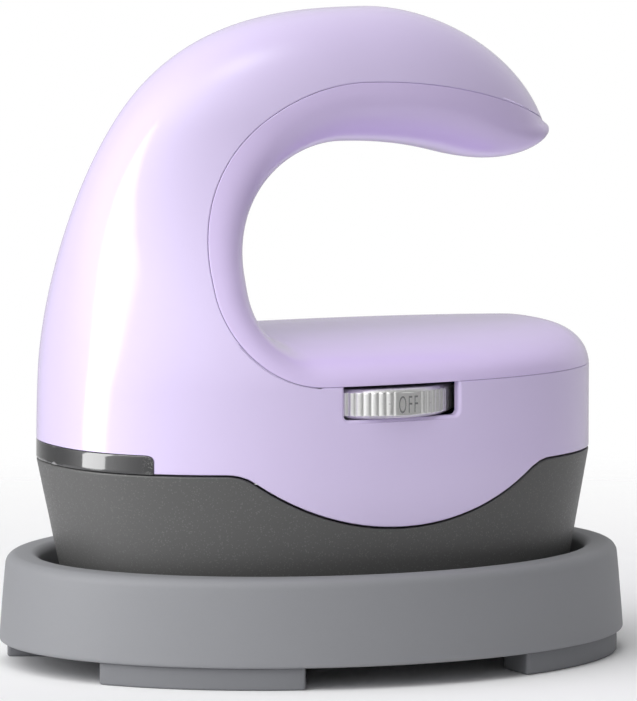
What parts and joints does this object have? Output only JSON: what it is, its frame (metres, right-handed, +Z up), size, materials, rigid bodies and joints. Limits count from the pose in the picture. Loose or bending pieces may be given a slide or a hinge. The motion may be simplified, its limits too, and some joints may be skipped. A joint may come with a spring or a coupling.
{
  "type": "mini handheld heat press",
  "caption": "Palm-sized heat press with an arched open handle, a thumb dial and an oval heated plate, standing in an oval safety base with feet.",
  "frame": {"origin": "on the surface the base stands on, under the middle of the safety base", "axes": "+X along the press towards the open end of the handle, -Y to the side with the dial, +Z up"},
  "size_m": [0.125, 0.101, 0.1253],
  "materials": {
    "grey_base": "fine matte texture",
    "silicone": "matte",
    "foot_rubber": "matte",
    "steel": "satin",
    "lavender_shell": "high gloss",
    "lavender_liner": "high gloss",
    "dark_housing": "satin with a fine sparkle",
    "smoked_window": "high gloss, smoked",
    "milky_plastic": "satin",
    "board": "semi gloss",
    "lamp_red": "gloss",
    "lamp_amber": "gloss",
    "lamp_green": "gloss",
    "dial_silver": "satin",
    "dark_plastic": "satin",
    "spring_brass": "satin",
    "relay_blue": "satin",
    "terminal_green": "satin",
    "aluminium": "satin",
    "heater_steel": "heat-tinted",
    "sensor_white": "ceramic",
    "insulation": "matte felt",
    "wire_red": "satin",
    "wire_blue": "satin"
  },
  "bodies": {
    "base": {"safety_base": "grey_base", "base_insert": "silicone", "base_foot_1": "foot_rubber", "base_foot_2": "foot_rubber", "base_foot_3": "foot_rubber", "base_foot_4": "foot_rubber", "base_screw_1": "steel", "base_screw_2": "steel", "base_screw_3": "steel", "base_screw_4": "steel"},
    "press": {"outer_shell": "lavender_shell", "grip_liner": "lavender_liner", "lower_housing": "dark_housing", "indicator_window": "smoked_window", "light_guide": "milky_plastic", "lamp_board": "board", "lamp_1": "lamp_red", "lamp_2": "lamp_amber", "lamp_3": "lamp_green", "rotary_switch": "dark_plastic", "detent_spring": "spring_brass", "control_board": "board", "transformer": "steel", "relay": "relay_blue", "capacitor": "dark_plastic", "triac": "dark_plastic", "heat_sink": "aluminium", "terminal_block": "terminal_green", "cord_gland": "dark_plastic", "heating_plate": "aluminium", "heating_tube": "heater_steel", "temperature_sensor": "sensor_white", "sensor_clip": "spring_brass", "thermal_fuse": "sensor_white", "fuse_clip": "spring_brass", "insulation_pad": "insulation", "heat_shield": "steel", "tube_lead_1": "wire_red", "tube_lead_2": "wire_blue", "sensor_lead": "wire_blue", "plate_screw_1": "steel", "plate_screw_2": "steel", "plate_screw_3": "steel", "plate_screw_4": "steel", "housing_screw_1": "steel", "housing_screw_2": "steel", "housing_screw_3": "steel", "housing_screw_4": "steel", "board_screw_1": "steel", "board_screw_2": "steel", "board_screw_3": "steel", "board_screw_4": "steel"},
    "dial": {"dial_wheel": "dial_silver", "switch_rotor": "milky_plastic"}
  },
  "joints": [
    {"name": "press_lift", "type": "slide", "parent": "base", "child": "press", "axis": [0, 0, 1], "range_m": [0, 0.06]},
    {"name": "dial_turn", "type": "hinge", "parent": "press", "child": "dial", "pos_m": [0, -0.0228, 0.0528], "axis": [0, 0, -1], "range_deg": [0, 135]}
  ]
}
